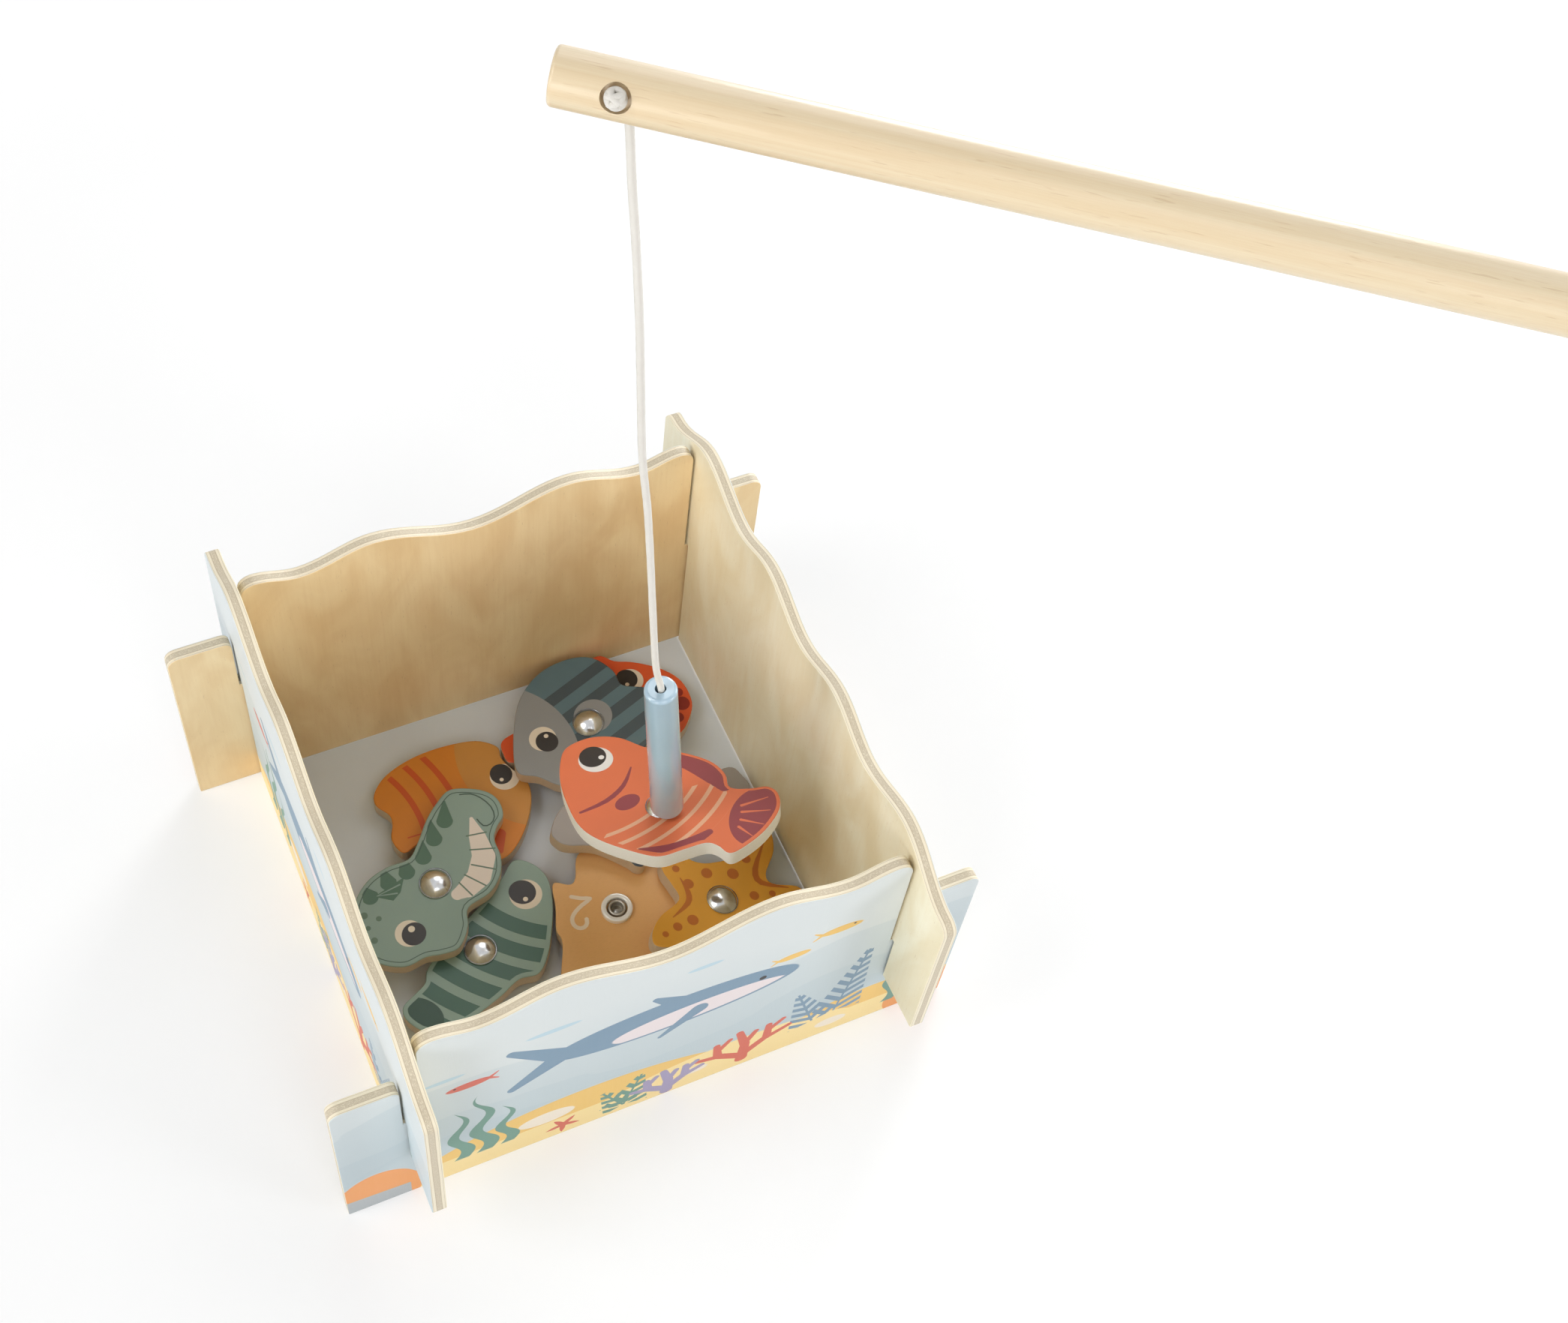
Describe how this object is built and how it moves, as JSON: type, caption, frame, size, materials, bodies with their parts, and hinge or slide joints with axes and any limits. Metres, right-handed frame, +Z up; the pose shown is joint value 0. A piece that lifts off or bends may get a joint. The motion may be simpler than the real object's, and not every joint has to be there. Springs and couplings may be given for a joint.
{
  "type": "magnetic fishing game",
  "caption": "Tabletop magnetic fishing game: wavy slotted plywood pond, flat sea-animal pieces with domed steel caps, and a rod whose line carries a magnet holder with a caught fish.",
  "frame": {"origin": "middle of the front panel's bottom edge, halfway through its thickness, on the table", "axes": "+X along the front panel to the right, +Y into the pond towards the back panel, +Z up"},
  "size_m": [0.3532, 0.2867, 0.3943],
  "materials": {
    "birch_plywood": "birch plywood with banded edges, printed outside in pale blue and sand",
    "yellow_fish_print": "light wood with a printed face",
    "seahorse_print": "light wood with a printed face",
    "long_fish_print": "light wood with a printed face",
    "grey_fish_print": "light wood with a printed face",
    "crab_print": "light wood with a printed face",
    "ray_print": "light wood with a printed face",
    "turned_piece_print": "bare wood on the back with a printed numeral",
    "starfish_print": "light wood with a printed face",
    "caught_fish_print": "white-edged wood printed on the face",
    "polished_steel": "polished domed steel",
    "white_plastic": "glossy white",
    "rivet_steel": "dull plated steel",
    "rod_wood": "clear-lacquered pale wood",
    "cotton_line": "braided off-white cotton",
    "holder_lacquer": "glossy pale blue-grey",
    "magnet_nickel": "nickel-plated magnet"
  },
  "bodies": {
    "root": {"panel_front": "birch_plywood", "panel_back": "birch_plywood", "panel_left": "birch_plywood", "panel_right": "birch_plywood", "yellow_fish_body": "yellow_fish_print", "yellow_fish_cap": "polished_steel", "yellow_fish_ring": "white_plastic", "yellow_fish_rivet": "rivet_steel", "seahorse_body": "seahorse_print", "seahorse_cap": "polished_steel", "seahorse_ring": "white_plastic", "seahorse_rivet": "rivet_steel", "long_fish_body": "long_fish_print", "long_fish_cap": "polished_steel", "long_fish_ring": "white_plastic", "long_fish_rivet": "rivet_steel", "grey_fish_body": "grey_fish_print", "grey_fish_cap": "polished_steel", "grey_fish_ring": "white_plastic", "grey_fish_rivet": "rivet_steel", "crab_body": "crab_print", "crab_cap": "polished_steel", "crab_ring": "white_plastic", "crab_rivet": "rivet_steel", "ray_body": "ray_print", "ray_cap": "polished_steel", "ray_ring": "white_plastic", "ray_rivet": "rivet_steel", "turned_piece_body": "turned_piece_print", "turned_piece_cap": "polished_steel", "turned_piece_ring": "white_plastic", "turned_piece_rivet": "rivet_steel", "starfish_body": "starfish_print", "starfish_cap": "polished_steel", "starfish_ring": "white_plastic", "starfish_rivet": "rivet_steel", "caught_fish_body": "caught_fish_print", "caught_fish_cap": "polished_steel", "caught_fish_ring": "white_plastic", "caught_fish_rivet": "rivet_steel", "rod": "rod_wood", "rod_knot": "cotton_line", "line": "cotton_line", "magnet_holder": "holder_lacquer", "holder_knot": "cotton_line", "magnet": "magnet_nickel"}
  },
  "joints": []
}
